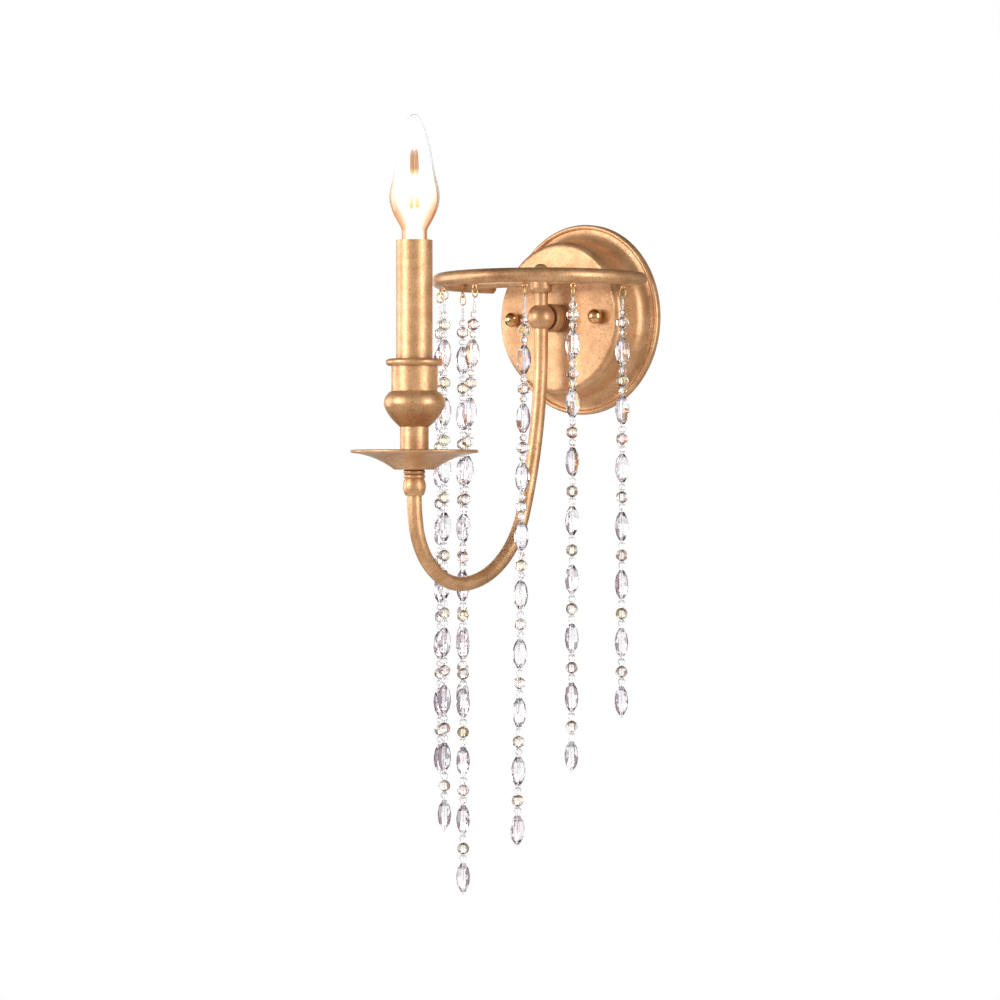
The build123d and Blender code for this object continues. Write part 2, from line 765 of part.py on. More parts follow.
with BuildPart() as bulb_filament:
    with BuildSketch(candle_plane):
        with BuildLine():
            Polyline((0, stem_top), (0, glass_foot + end_gap), (stem_foot_r, glass_foot + end_gap))
            ThreePointArc(
                (stem_foot_r, glass_foot + end_gap),
                (stem_r + 0.2 * (stem_foot_r - stem_r), glass_foot + 0.4 * stem_height),
                (stem_r, stem_top),
            )
            Line((stem_r, stem_top), (0, stem_top))
        make_face()
    revolve(axis=candle_axis)
    stick_foot = glass_foot + filament_foot
    stick_top = stick_foot + filament_length
    for side in (-1, 1):
        foot = Vector(side * filament_spread, candle_y, stick_foot)
        top = Vector(side * (filament_spread - filament_lean), candle_y, stick_top)
        with BuildSketch(Plane(foot, z_dir=top - foot)):
            Circle(filament_r)
        extrude(amount=(top - foot).length)
    with BuildLine(candle_plane) as support:
        Polyline(
            (-0.7 * stem_r, stem_top - 4 * filament_wire_r),
            (-filament_spread, stick_foot),
            (filament_lean - filament_spread, stick_top + 2 * filament_wire_r),
            (filament_spread - filament_lean, stick_top + 2 * filament_wire_r),
            (filament_spread, stick_foot),
            (0.7 * stem_r, stem_top - 4 * filament_wire_r),
        )
    with BuildSketch(Plane(support.line @ 0, z_dir=support.line % 0)):
        Circle(filament_wire_r)
    sweep(path=support.line, transition=Transition.ROUND)
save(bulb_filament, "bulb_filament")

# ================= Leads, from the plate's hollow through the arm to the lamp holder =================

with BuildLine() as lead_flat:
    run = Line((-lead_tail, 0), (lead_bend_r - rod_reach, 0))
    run = JernArc(run @ 1, run % 1, lead_bend_r, 90)
    run = Line(run @ 1, (-rod_reach, arm_entry - arm_drop))
    for bend_r, turn in arm_bends:
        run = JernArc(run @ 1, run % 1, bend_r, -turn)

with BuildPart() as lamp_leads:
    for side, end in ((1, contact_foot), (-1, contact_foot - neutral_short)):
        with BuildLine() as rise_flat:
            Line((candle_y, arm_top - coupling_seat), (candle_y, end))
        lead_place = Location((side * lead_offset, 0, 0)) * side_plane.location
        lead_route = Wire(lead_flat.edges() + rise_flat.edges()).moved(lead_place)
        with BuildSketch(Plane(lead_route @ 0, z_dir=lead_route % 0)):
            Circle(lead_r)
        sweep(path=lead_route)
save(lamp_leads, "lamp_leads")

# ================= Strands of crystal =================


def crystal(sides, half_length, *upper_half):
    """A cut bead around a bore along Z, from (radius, height) points that run up from its middle."""
    top = [*upper_half, (bead_bore_r, half_length)]
    bottom = [(r, -z) for r, z in reversed(top) if z > 0]
    return faceted_ring([*bottom, *top], sides)


round_bead = crystal(bead_sides, round_half, (round_r, 0), (0.76 * round_r, 0.62 * round_half))
oval_bead = crystal(bead_sides, oval_half, (oval_r, 0.22 * oval_half), (oval_end_r, oval_half))
spacer_bead = crystal(spacer_sides, spacer_half, (spacer_r, 0))
link = wire_ring(link_end_r, link_wire_r, bead_sides, stretch=link_straight)
loop = wire_ring(loop_r, loop_wire_r, loop_sides)

link_top = eye_wire_r + link_wire_r + link_gap          # of its wire, above the wire that it hangs on
link_middle = link_end_r + link_straight / 2 - link_top  # below that wire, as all the drops here
loop_drop = 2 * link_middle + link_top
crimp_drop = loop_drop + loop_r
spacer_drop = round_half + spacer_half
unit_pitch = 2 * (round_half + 2 * spacer_half + bead_gap + oval_half)  # from one round bead to the next

# The middle strand hangs from straight above the arm, and leans until it clears the tube's side.
# The others hang a little off plumb, as threads of cut beads do.
bare_thread = (unit_pitch / 2 - oval_half + spacer_drop + spacer_half) / 2  # its middle, above a round bead
bend_drop = hang_height - ring_height + first_round_drop[middle] + bend_unit * unit_pitch - bare_thread
lean = degrees(asin((arm_r + oval_r + arm_clearance) / bend_drop))


def strand_place(number, drop):
    """The place on a strand this far below the wire that it hangs on, with local Z up along it."""
    angle = strand_angles[number]
    place = Location(around_ring(angle, hang_height), (0, 0, angle))
    if number != middle:
        return place * Location((0, 0, 0), (0, strand_sway[number], 0)) * Location((0, 0, -drop))
    leaning = place * Location((0, 0, 0), (0, lean, 0))
    if drop <= bend_drop:
        return leaning * Location((0, 0, -drop))
    bend = (leaning * Location((0, 0, -bend_drop))).position
    return Location(bend, (0, 0, angle)) * Location((0, 0, bend_drop - drop))


for number, units in enumerate(strand_units):
    top_round = hang_height - ring_height + first_round_drop[number]
    round_drops = [top_round + unit * unit_pitch for unit in range(units)]
    oval_drops = [drop + unit_pitch / 2 for drop in round_drops]
    spacer_drops = [drop + side * spacer_drop for drop in round_drops for side in (-1, 1)]
    thread_end = oval_drops[-1] + oval_half + crimp_height

    with BuildPart() as strand_link:
        with Locations(strand_place(number, link_middle) * side_plane.location):
            add(link)
    save(strand_link, f"link_{number + 1}")

    with BuildPart() as thread:
        with Locations(strand_place(number, loop_drop) * wall_plane.location):
            add(loop)
        with Locations(strand_place(number, crimp_drop + crimp_height / 2)):
            Cylinder(crimp_r, crimp_height)
        knots = [crimp_drop, thread_end]
        if number == middle:
            knots.insert(1, bend_drop)
        for upper, lower in zip(knots, knots[1:]):
            with Locations(strand_place(number, lower)):
                Cylinder(thread_r, lower - upper, align=(Align.CENTER, Align.CENTER, Align.MIN))
        with Locations(strand_place(number, thread_end)):
            Cylinder(crimp_r, crimp_height)
    save(thread, f"thread_{number + 1}")

    with BuildPart() as round_beads:
        with Locations(*[strand_place(number, drop) for drop in round_drops]):
            add(round_bead)
        with Locations(*[strand_place(number, drop) for drop in spacer_drops]):
            add(spacer_bead)
    save(round_beads, f"round_beads_{number + 1}")

    with BuildPart() as oval_beads:
        with Locations(*[strand_place(number, drop) for drop in oval_drops]):
            add(oval_bead)
    save(oval_beads, f"oval_beads_{number + 1}")
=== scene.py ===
"""Looks of the crystal wall sconce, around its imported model. Metres, +Z up, the wall at Y = 0."""

import json
from math import atan, cos, pi, radians, sin

import bmesh
import bpy
from mathutils import Matrix, Vector

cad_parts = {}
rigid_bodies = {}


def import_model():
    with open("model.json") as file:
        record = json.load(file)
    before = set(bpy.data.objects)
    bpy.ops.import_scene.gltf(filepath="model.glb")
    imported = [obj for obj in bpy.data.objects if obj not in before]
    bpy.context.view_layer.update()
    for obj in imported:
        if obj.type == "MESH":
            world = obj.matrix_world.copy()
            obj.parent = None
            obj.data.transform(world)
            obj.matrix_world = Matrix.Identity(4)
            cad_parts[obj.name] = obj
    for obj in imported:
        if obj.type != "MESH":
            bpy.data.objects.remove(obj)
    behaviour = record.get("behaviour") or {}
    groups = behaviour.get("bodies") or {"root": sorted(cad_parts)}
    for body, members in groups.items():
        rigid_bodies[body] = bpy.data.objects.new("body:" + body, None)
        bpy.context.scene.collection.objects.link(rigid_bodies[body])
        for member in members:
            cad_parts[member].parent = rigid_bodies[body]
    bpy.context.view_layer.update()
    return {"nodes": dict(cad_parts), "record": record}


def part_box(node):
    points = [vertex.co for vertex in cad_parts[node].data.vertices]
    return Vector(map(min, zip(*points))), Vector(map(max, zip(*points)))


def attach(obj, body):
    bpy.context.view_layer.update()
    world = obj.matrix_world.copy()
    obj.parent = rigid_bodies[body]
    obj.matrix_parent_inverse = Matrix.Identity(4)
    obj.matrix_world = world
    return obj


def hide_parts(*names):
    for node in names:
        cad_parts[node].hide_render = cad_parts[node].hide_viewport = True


for leftover in list(bpy.data.objects):
    bpy.data.objects.remove(leftover)
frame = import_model()
nodes = frame["nodes"]
scene = bpy.context.scene
scene.view_settings.view_transform = "Standard"

# ---- Camera: the photograph's viewing angle ----
MM = 0.001
VIEW_AZIMUTH = 39.5        # degrees, from the room side towards +X
VIEW_DISTANCE = 2.0        # to the vertical axis of ball, post and ring
VIEW_HEIGHT = -0.103
IMAGE_SIDE = 1000
PIXELS_PER_MM = 1.53       # at that axis
AXIS_PIXEL = 541           # column that the axis falls on
HORIZON_PIXEL = 475        # row that the camera's height falls on
SENSOR = 36.0
CLIP_END = 50
ROD_REACH = 46 * MM        # from the wall to that axis
ROD = Vector((0, -ROD_REACH, 0))

azimuth = radians(VIEW_AZIMUTH)
right = Vector((cos(azimuth), sin(azimuth), 0))
ahead = Vector((-sin(azimuth), cos(azimuth), 0))
focal_pixels = PIXELS_PER_MM * VIEW_DISTANCE / MM
side_shift = (AXIS_PIXEL - IMAGE_SIDE / 2) / PIXELS_PER_MM * MM
pitch = atan((IMAGE_SIDE / 2 - HORIZON_PIXEL) / focal_pixels)

camera_data = bpy.data.cameras.new("photo_camera")
camera_data.sensor_width = SENSOR
camera_data.lens = focal_pixels / IMAGE_SIDE * SENSOR
camera_data.clip_end = CLIP_END
camera = bpy.data.objects.new("photo_camera", camera_data)
scene.collection.objects.link(camera)
place = ROD - right * side_shift - ahead * VIEW_DISTANCE
place.z = VIEW_HEIGHT
turn = Matrix.Rotation(azimuth, 4, "Z") @ Matrix.Rotation(radians(90) - pitch, 4, "X")
camera.matrix_world = Matrix.Translation(place) @ turn
scene.camera = camera


# ---- Small helpers for node trees. Noise scales are per metre, colours are linear ----
WHITE = (1.0, 1.0, 1.0)
MOTTLE_LOW, MOTTLE_HIGH = 0.3, 0.7    # noise values at which a mottle reaches its two ends


def new_material(name):
    """An empty material with its output and a Principled shader, as (material, tree, shader)."""
    material = bpy.data.materials.new(name)
    material.use_nodes = True
    tree = material.node_tree
    tree.nodes.clear()
    output = tree.nodes.new("ShaderNodeOutputMaterial")
    shader = tree.nodes.new("ShaderNodeBsdfPrincipled")
    tree.links.new(shader.outputs["BSDF"], output.inputs["Surface"])
    return material, tree, shader


def set_shader(shader, **values):
    """Sets sockets by name, with spaces written as underscores."""
    for name, value in values.items():
        shader.inputs[name.replace("_", " ")].default_value = value


def noise(tree, scale, detail=3.0, roughness=0.55, stretch=(1, 1, 1)):
    """A noise texture in the object's own metres, and gives its factor socket."""
    place_node = tree.nodes.new("ShaderNodeTexCoord")
    mapping = tree.nodes.new("ShaderNodeMapping")
    mapping.inputs["Scale"].default_value = stretch
    texture = tree.nodes.new("ShaderNodeTexNoise")
    texture.inputs["Scale"].default_value = scale
    texture.inputs["Detail"].default_value = detail
    texture.inputs["Roughness"].default_value = roughness
    tree.links.new(place_node.outputs["Object"], mapping.inputs["Vector"])
    tree.links.new(mapping.outputs["Vector"], texture.inputs["Vector"])
    return texture.outputs["Fac"]


def ramp(tree, source, stops):
    """A colour ramp on a factor. stops are (position, colour or grey)."""
    node = tree.nodes.new("ShaderNodeValToRGB")
    elements = node.color_ramp.elements
    while len(elements) < len(stops):
        elements.new(0.5)
    for element, (position, colour) in zip(elements, stops):
        element.position = position
        if isinstance(colour, (int, float)):
            colour = (colour, colour, colour)
        element.color = (*colour, 1)
    tree.links.new(source, node.inputs["Fac"])
    return node.outputs["Color"]


def mix(tree, factor, first, second, blend="MIX"):
    """Mixes two colours, each a socket or a colour, by a factor that is a socket or a number."""
    node = tree.nodes.new("ShaderNodeMix")
    node.data_type = "RGBA"
    node.blend_type = blend
    sockets = (node.inputs[0], node.inputs[6], node.inputs[7])
    for socket, value in zip(sockets, (factor, first, second)):
        if hasattr(value, "links"):
            tree.links.new(value, socket)
        elif isinstance(value, tuple):
            socket.default_value = (*value, 1)
        else:
            socket.default_value = value
    return node.outputs[2]


def mottle(tree, shader, socket, scale, dark, light, detail=3, stretch=(1, 1, 1)):
    """Varies one of a shader's sockets between two colours or greys by a noise."""
    field = noise(tree, scale, detail, stretch=stretch)
    values = ramp(tree, field, [(MOTTLE_LOW, dark), (MOTTLE_HIGH, light)])
    tree.links.new(values, shader.inputs[socket])


def height_between(tree, low, high):
    """How far up a point is between two heights of the model, from 0 to 1, as a socket."""
    place_node = tree.nodes.new("ShaderNodeTexCoord")
    split_node = tree.nodes.new("ShaderNodeSeparateXYZ")
    tree.links.new(place_node.outputs["Object"], split_node.inputs["Vector"])
    span = tree.nodes.new("ShaderNodeMapRange")
    span.inputs["From Min"].default_value = low
    span.inputs["From Max"].default_value = high
    tree.links.new(split_node.outputs["Z"], span.inputs["Value"])
    return span.outputs["Result"]


def bump(tree, shader, height, strength, distance):
    """Raises the surface by a height socket."""
    node = tree.nodes.new("ShaderNodeBump")
    node.inputs["Strength"].default_value = strength
    node.inputs["Distance"].default_value = distance
    tree.links.new(height, node.inputs["Height"])
    tree.links.new(node.outputs["Normal"], shader.inputs["Normal"])


# ---- Materials ----
# The lamp glass's amber edge is painted shade, laid on where the glass is seen edge-on.
AMBER_FADE = (60 * MM, 92 * MM)      # heights between which the lamp's amber edge fades
INSIDE_SPAN = (42 * MM, 102 * MM)    # heights that the glow of the lamp's inside runs between


def champagne_paint():
    """Antiqued champagne-gold paint: mottled, speckled, with painted shade that browns it in its
    hollows.
    """
    material, tree, shader = new_material("champagne_paint")
    tones = [(0.35, (0.62, 0.31, 0.125)), (0.62, (0.80, 0.45, 0.215))]
    patches = ramp(tree, noise(tree, 95, 4), tones)
    specks = ramp(tree, noise(tree, 900, 5, 0.7), [(0.38, 0.9), (0.46, 0.0)])
    colour = mix(tree, specks, patches, (0.40, 0.19, 0.07))
    flecks = ramp(tree, noise(tree, 1500, 2, 0.6), [(0.60, 0.0), (0.70, 0.8)])
    colour = mix(tree, flecks, colour, (0.92, 0.66, 0.42))
    # Painted shade: ambient occlusion pulls the colour towards dark brown in hollows and where
    # parts meet.
    occlusion = tree.nodes.new("ShaderNodeAmbientOcclusion")
    occlusion.inputs["Distance"].default_value = 6 * MM
    occlusion.samples = 6
    painted_hollow_shade = ramp(tree, occlusion.outputs["AO"], [(0.25, 1.0), (0.85, 0.0)])
    colour = mix(tree, painted_hollow_shade, colour, (0.24, 0.10, 0.035))
    tree.links.new(colour, shader.inputs["Base Color"])
    mottle(tree, shader, "Roughness", 600, 0.36, 0.50)
    set_shader(shader, Metallic=0.62, Coat_Weight=0.6, Coat_Roughness=0.38)
    bump(tree, shader, noise(tree, 1300, 3, 0.6), 0.16, 0.4 * MM)
    return material


def polished_gold():
    """The brighter plating of the small ball nuts, with fine turning marks."""
    material, tree, shader = new_material("polished_gold")
    mottle(tree, shader, "Base Color", 240, (0.80, 0.43, 0.17), (0.95, 0.60, 0.30))
    mottle(tree, shader, "Roughness", 900, 0.18, 0.28)
    set_shader(shader, Metallic=1.0)
    return material


def plated_steel():
    """Zinc-plated pressed steel with a faint cloudy grain."""
    material, tree, shader = new_material("plated_steel")
    rolled = (0.1, 1, 1)
    mottle(tree, shader, "Base Color", 160, (0.42, 0.43, 0.44), (0.62, 0.62, 0.60), 4)
    mottle(tree, shader, "Roughness", 700, 0.28, 0.45, stretch=rolled)
    set_shader(shader, Metallic=1.0)
    bump(tree, shader, noise(tree, 900, 2, stretch=rolled), 0.08, 0.3 * MM)
    return material


def worked_metal(name, dark, light):
    """Bare turned or rolled metal, slightly tarnished."""
    material, tree, shader = new_material(name)
    mottle(tree, shader, "Base Color", 220, dark, light, 4)
    mottle(tree, shader, "Roughness", 900, 0.22, 0.40)
    set_shader(shader, Metallic=1.0)
    return material


def moulded(name, dark, light, roughness):
    """Moulded plastic or insulation with a faint mottle."""
    material, tree, shader = new_material(name)
    mottle(tree, shader, "Base Color", 300, dark, light)
    set_shader(shader, Roughness=roughness)
    bump(tree, shader, noise(tree, 2500, 2), 0.1, 0.2 * MM)
    return material


def facing_away(tree):
    """How far a surface faces away from the eye, from 0 to 1, as a socket."""
    node = tree.nodes.new("ShaderNodeLayerWeight")
    node.inputs["Blend"].default_value = 0.5
    return node.outputs["Facing"]


def crystal(name, tint, dark, film=0.0, ior=1.56):
    """Cut crystal, with painted shade that turns its facets dark here and there where they are seen
    at a slant.

    tint is its two colours, either side of white, dark the colour of that painted shade, and film
    the nanometres of a thin film on it.
    """
    material, tree, shader = new_material(name)
    shades = ramp(tree, noise(tree, 60, 1), [(0.36, tint[0]), (0.50, WHITE), (0.64, tint[1])])
    # Painted shade: facets seen at a slant turn to the dark colour in patches, and a little grey
    # elsewhere.
    slant = facing_away(tree)
    painted_facet_shade = ramp(tree, slant, [(0.16, WHITE), (0.30, dark), (0.62, dark), (0.80, 0.9)])
    light = ramp(tree, slant, [(0.40, WHITE), (0.65, (0.90, 0.89, 0.90)), (0.80, WHITE)])
    patches = ramp(tree, noise(tree, 170, 1), [(0.42, 0.0), (0.48, 1.0)])
    slant_shaded_facets = mix(tree, patches, light, painted_facet_shade)
    tree.links.new(mix(tree, 1.0, shades, slant_shaded_facets, "MULTIPLY"), shader.inputs["Base Color"])
    set_shader(shader, Roughness=0.0, IOR=ior, Transmission_Weight=1.0)
    if film:
        set_shader(shader, Thin_Film_Thickness=film, Thin_Film_IOR=1.5)
    return material


def clear_nylon():
    """Clear nylon line, a little milky."""
    material, tree, shader = new_material("clear_nylon")
    mottle(tree, shader, "Base Color", 500, (0.93, 0.93, 0.94), WHITE)
    set_shader(shader, Roughness=0.12, IOR=1.5, Transmission_Weight=0.6)
    return material


def lamp_glass():
    """Clear blown glass of the lamp, with painted shade where it is seen edge-on: amber low down
    and greyer above.
    """
    material, tree, shader = new_material("lamp_glass")
    # Painted shade: edge-on parts darken to amber below the fade heights and to grey above them.
    slant = facing_away(tree)
    amber = [(0.08, WHITE), (0.28, (0.72, 0.55, 0.42)), (0.7, (0.62, 0.40, 0.27))]
    amber_edge_shade = ramp(tree, slant, amber)
    grey_edge_shade = ramp(tree, slant, [(0.40, WHITE), (0.7, (0.76, 0.74, 0.72))])
    upper = ramp(tree, height_between(tree, *AMBER_FADE), [(0.0, 0.0), (1.0, 1.0)])
    tint = mix(tree, upper, amber_edge_shade, grey_edge_shade)
    clouds = ramp(tree, noise(tree, 30, 2), [(MOTTLE_LOW, 0.985), (MOTTLE_HIGH, 1.0)])
    tree.links.new(mix(tree, 1.0, tint, clouds, "MULTIPLY"), shader.inputs["Base Color"])
    set_shader(shader, Roughness=0.0, IOR=1.2, Transmission_Weight=1.0)
    return material


def lamp_inside():
    """The lamp's glowing sticks, yellow at the foot, white-hot, brown on top, and its white stem,
    which glows as painted light.
    """
    material, tree, shader = new_material("lamp_inside")
    height = height_between(tree, *INSIDE_SPAN)
    # Up to 0.30 the glow is painted light on the white stem, which gives no light of its own; above
    # it the sticks glow.
    glow = [
        (0.00, (0.80, 0.80, 0.78)),
        (0.30, (0.86, 0.84, 0.78)),
        (0.34, (1.0, 0.70, 0.16)),
        (0.42, (1.0, 0.86, 0.42)),
        (0.47, (1.0, 1.0, 0.96)),
        (0.68, (1.0, 1.0, 0.96)),
        (0.71, (0.92, 0.70, 0.36)),
        (0.76, (0.58, 0.29, 0.13)),
        (0.89, (0.60, 0.30, 0.15)),
        (0.97, (0.82, 0.60, 0.55)),
    ]
    tree.links.new(ramp(tree, height, glow), shader.inputs["Emission Color"])
    body = ramp(tree, height, [(0.30, (0.75, 0.75, 0.73)), (0.34, (0.04, 0.03, 0.02))])
    tree.links.new(body, shader.inputs["Base Color"])
    set_shader(shader, Roughness=0.5, Emission_Strength=1.0)
    return material


PAINT = champagne_paint()
STEEL = plated_steel()
BRASS = worked_metal("turned_brass", (0.55, 0.36, 0.12), (0.80, 0.60, 0.28))
CAP_METAL = worked_metal("rolled_cap", (0.60, 0.58, 0.52), (0.85, 0.83, 0.77))
HOLDER = moulded("holder_moulding", (0.035, 0.03, 0.028), (0.06, 0.05, 0.045), 0.5)
LEADS = moulded("lead_insulation", (0.72, 0.71, 0.66), (0.80, 0.79, 0.75), 0.45)
NUTS = polished_gold()
AMBER_TINT = ((1.0, 0.94, 0.73), (1.0, 0.88, 0.86))
LILAC_TINT = ((0.98, 0.94, 0.985), (1.0, 0.92, 0.95))
FAINT_TINT = (WHITE, (1.0, 0.98, 0.98))
# The third value of each crystal is the colour of the painted shade on its facets seen at a slant.
ROUND = crystal("round_crystal", AMBER_TINT, (0.17, 0.10, 0.065), film=330)
OVAL = crystal("oval_crystal", LILAC_TINT, (0.15, 0.10, 0.125), ior=1.5)
SPACER = crystal("spacer_crystal", FAINT_TINT, (0.60, 0.58, 0.58), ior=1.25)
NYLON = clear_nylon()
LAMP = lamp_glass()
GLOW = lamp_inside()
slot_materials = {
    "champagne_gold": PAINT,
    "zinc_steel": STEEL,
    "brass_fittings": BRASS,
    "holder_moulding": HOLDER,
    "holder_metal": BRASS,
    "lead_insulation": LEADS,
    "bulb_clear_glass": LAMP,
    "bulb_cap_metal": CAP_METAL,
    "bulb_inner": GLOW,
    "round_crystal": ROUND,
    "oval_crystal": OVAL,
    "strand_wire": BRASS,
}
for row in frame["record"]["subparts"]:
    for slot in nodes[row["node"]].material_slots:
        slot.material = slot_materials[row["material_slot"]]
for slot in nodes["cap_nuts"].material_slots:
    slot.material = NUTS

# ---- Finer pieces in place of the plain beads, links and eyelets ----
STRANDS = range(1, 8)
RING_HEIGHT = 23.5 * MM
RING_BAR_R = 4.6 * MM
EYE_R = 1.45 * MM
EYE_WIRE_R = 0.45 * MM
EYE_GAP = 0.1 * MM          # between an eye and the ring's bar
SHANK_DEPTH = 2.9 * MM      # that an eye's shank goes up into the bar
EYE_CENTRE = RING_HEIGHT - RING_BAR_R - EYE_GAP - EYE_WIRE_R - EYE_R
LINK_R = 2.4 * MM
LINK_STRAIGHT = 1.4 * MM
LINK_WIRE_R = 0.4 * MM
WIRE_SIDES = 12
LOOP_POINTS = 40
TWIST_STEPS = 36
TWIST_PITCH = 4.4 * MM
LINE_DROP = 1.9 * MM        # from the link's foot to the top of the twisted line
LINE_R = 0.3 * MM
GOLDEN_TURN = radians(137.5)
BEAD_SIDES = 8
SPACER_OFFSET = 6.3 * MM    # of a spacer's middle from the middle of the round bead it touches
# In mm from here on: the outlines are (radius, height) points of a bead's upper half
TWIST_R = 0.8
BORE_R = 0.55
ROUND_OUTLINE = ((4.0, 0.7), (3.3, 2.3), (1.2, 3.7))
OVAL_OUTLINE = ((4.6, 1.4), (3.7, 5.6), (1.5, 9.2))
SPACER_OUTLINE = ((2.45, 0.5), (1.2, 2.3))


def separate_solids(node):
    """The lower and upper end of each solid that a node is made of, on its own axis.

    Solids that touch share points, so a round bead and its two spacers count as one.
    """
    shape = bmesh.new()
    shape.from_mesh(nodes[node].data)
    bmesh.ops.remove_doubles(shape, verts=shape.verts, dist=1e-6)
    shape.verts.ensure_lookup_table()
    seen, found = set(), []
    for start in shape.verts:
        if start.index in seen:
            continue
        seen.add(start.index)
        queue, points = [start], []
        while queue:
            vert = queue.pop()
            points.append(vert.co.copy())
            for edge in vert.link_edges:
                other = edge.other_vert(vert)
                if other.index not in seen:
                    seen.add(other.index)
                    queue.append(other)
        low, high = min(p.z for p in points), max(p.z for p in points)
        margin = 0.1 * (high - low)
        foot = [p for p in points if p.z < low + margin]
        head = [p for p in points if p.z > high - margin]
        found.append([sum(ring, Vector()) / len(ring) for ring in (foot, head)])
    shape.free()
    return sorted(found, key=lambda ends: -ends[0].z)


def stand(middle, along):
    """The place of a piece with its middle at a point and its Z axis along a direction."""
    return Matrix.Translation(middle) @ along.to_track_quat("Z", "Y").to_matrix().to_4x4()


def add_lathe(shape, section, sides, place_matrix, index=0):
    """Adds a closed ring of flat faces to a bmesh, from a closed (radius, height) section in mm."""
    rings = []
    for radius, height in section:
        ring = []
        for side in range(sides):
            angle = 2 * pi * side / sides
            spot = Vector((radius * cos(angle), radius * sin(angle), height)) * MM
            ring.append(shape.verts.new(place_matrix @ spot))
        rings.append(ring)
    for number, lower in enumerate(rings):
        upper = rings[(number + 1) % len(rings)]
        for side in range(sides):
            after = (side + 1) % sides
            face = shape.faces.new((lower[side], lower[after], upper[after], upper[side]))
            face.material_index = index


def bead_section(outline):
    """A bored bead's closed section from the outline of its upper half."""
    lower = [(radius, -height) for radius, height in reversed(outline)]
    top = outline[-1][1]
    return [(BORE_R, -top), *lower, *outline, (BORE_R, top)]


def finish_piece(shape, name, body, materials, replaced, smooth=False):
    """Turns a bmesh into a piece that rides on a body, in place of some CAD nodes or of none."""
    bmesh.ops.recalc_face_normals(shape, faces=shape.faces)
    mesh = bpy.data.meshes.new(name)
    shape.to_mesh(mesh)
    shape.free()
    for material in materials:
        mesh.materials.append(material)
    for polygon in mesh.polygons:
        polygon.use_smooth = smooth
    piece = bpy.data.objects.new(name, mesh)
    scene.collection.objects.link(piece)
    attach(piece, body)
    if replaced:
        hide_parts(*replaced)


def add_tube(shape, points, radius, closed=False):
    """Adds a round wire along points to a bmesh."""
    rings = []
    side_axis = None
    last = len(points) - 1
    for number, point in enumerate(points):
        before = points[number - 1] if number or closed else point
        after = points[(number + 1) % len(points)] if number < last or closed else point
        along = (after - before).normalized()
        if side_axis is None:
            side_axis = along.orthogonal().normalized()
        side_axis = (side_axis - along * side_axis.dot(along)).normalized()
        other_axis = along.cross(side_axis)
        ring = []
        for k in range(WIRE_SIDES):
            turn = 2 * pi * k / WIRE_SIDES
            offset = (side_axis * cos(turn) + other_axis * sin(turn)) * radius
            ring.append(shape.verts.new(point + offset))
        rings.append(ring)
    pairs = list(zip(rings, rings[1:])) + ([(rings[-1], rings[0])] if closed else [])
    for lower, upper in pairs:
        for k in range(WIRE_SIDES):
            shape.faces.new((lower[k - 1], lower[k], upper[k], upper[k - 1]))
    if not closed:
        shape.faces.new(rings[0])
        shape.faces.new(rings[-1])


def oval_loop(centre, across, radius, straight=0.0):
    """Points of an upright oval loop that spreads along a horizontal direction."""
    points = []
    for k in range(LOOP_POINTS):
        turn = 2 * pi * (k + 0.5) / LOOP_POINTS
        lift = straight / 2 if sin(turn) > 0 else -straight / 2
        rise = Vector((0, 0, radius * sin(turn) + lift))
        points.append(centre + across * radius * cos(turn) + rise)
    return points


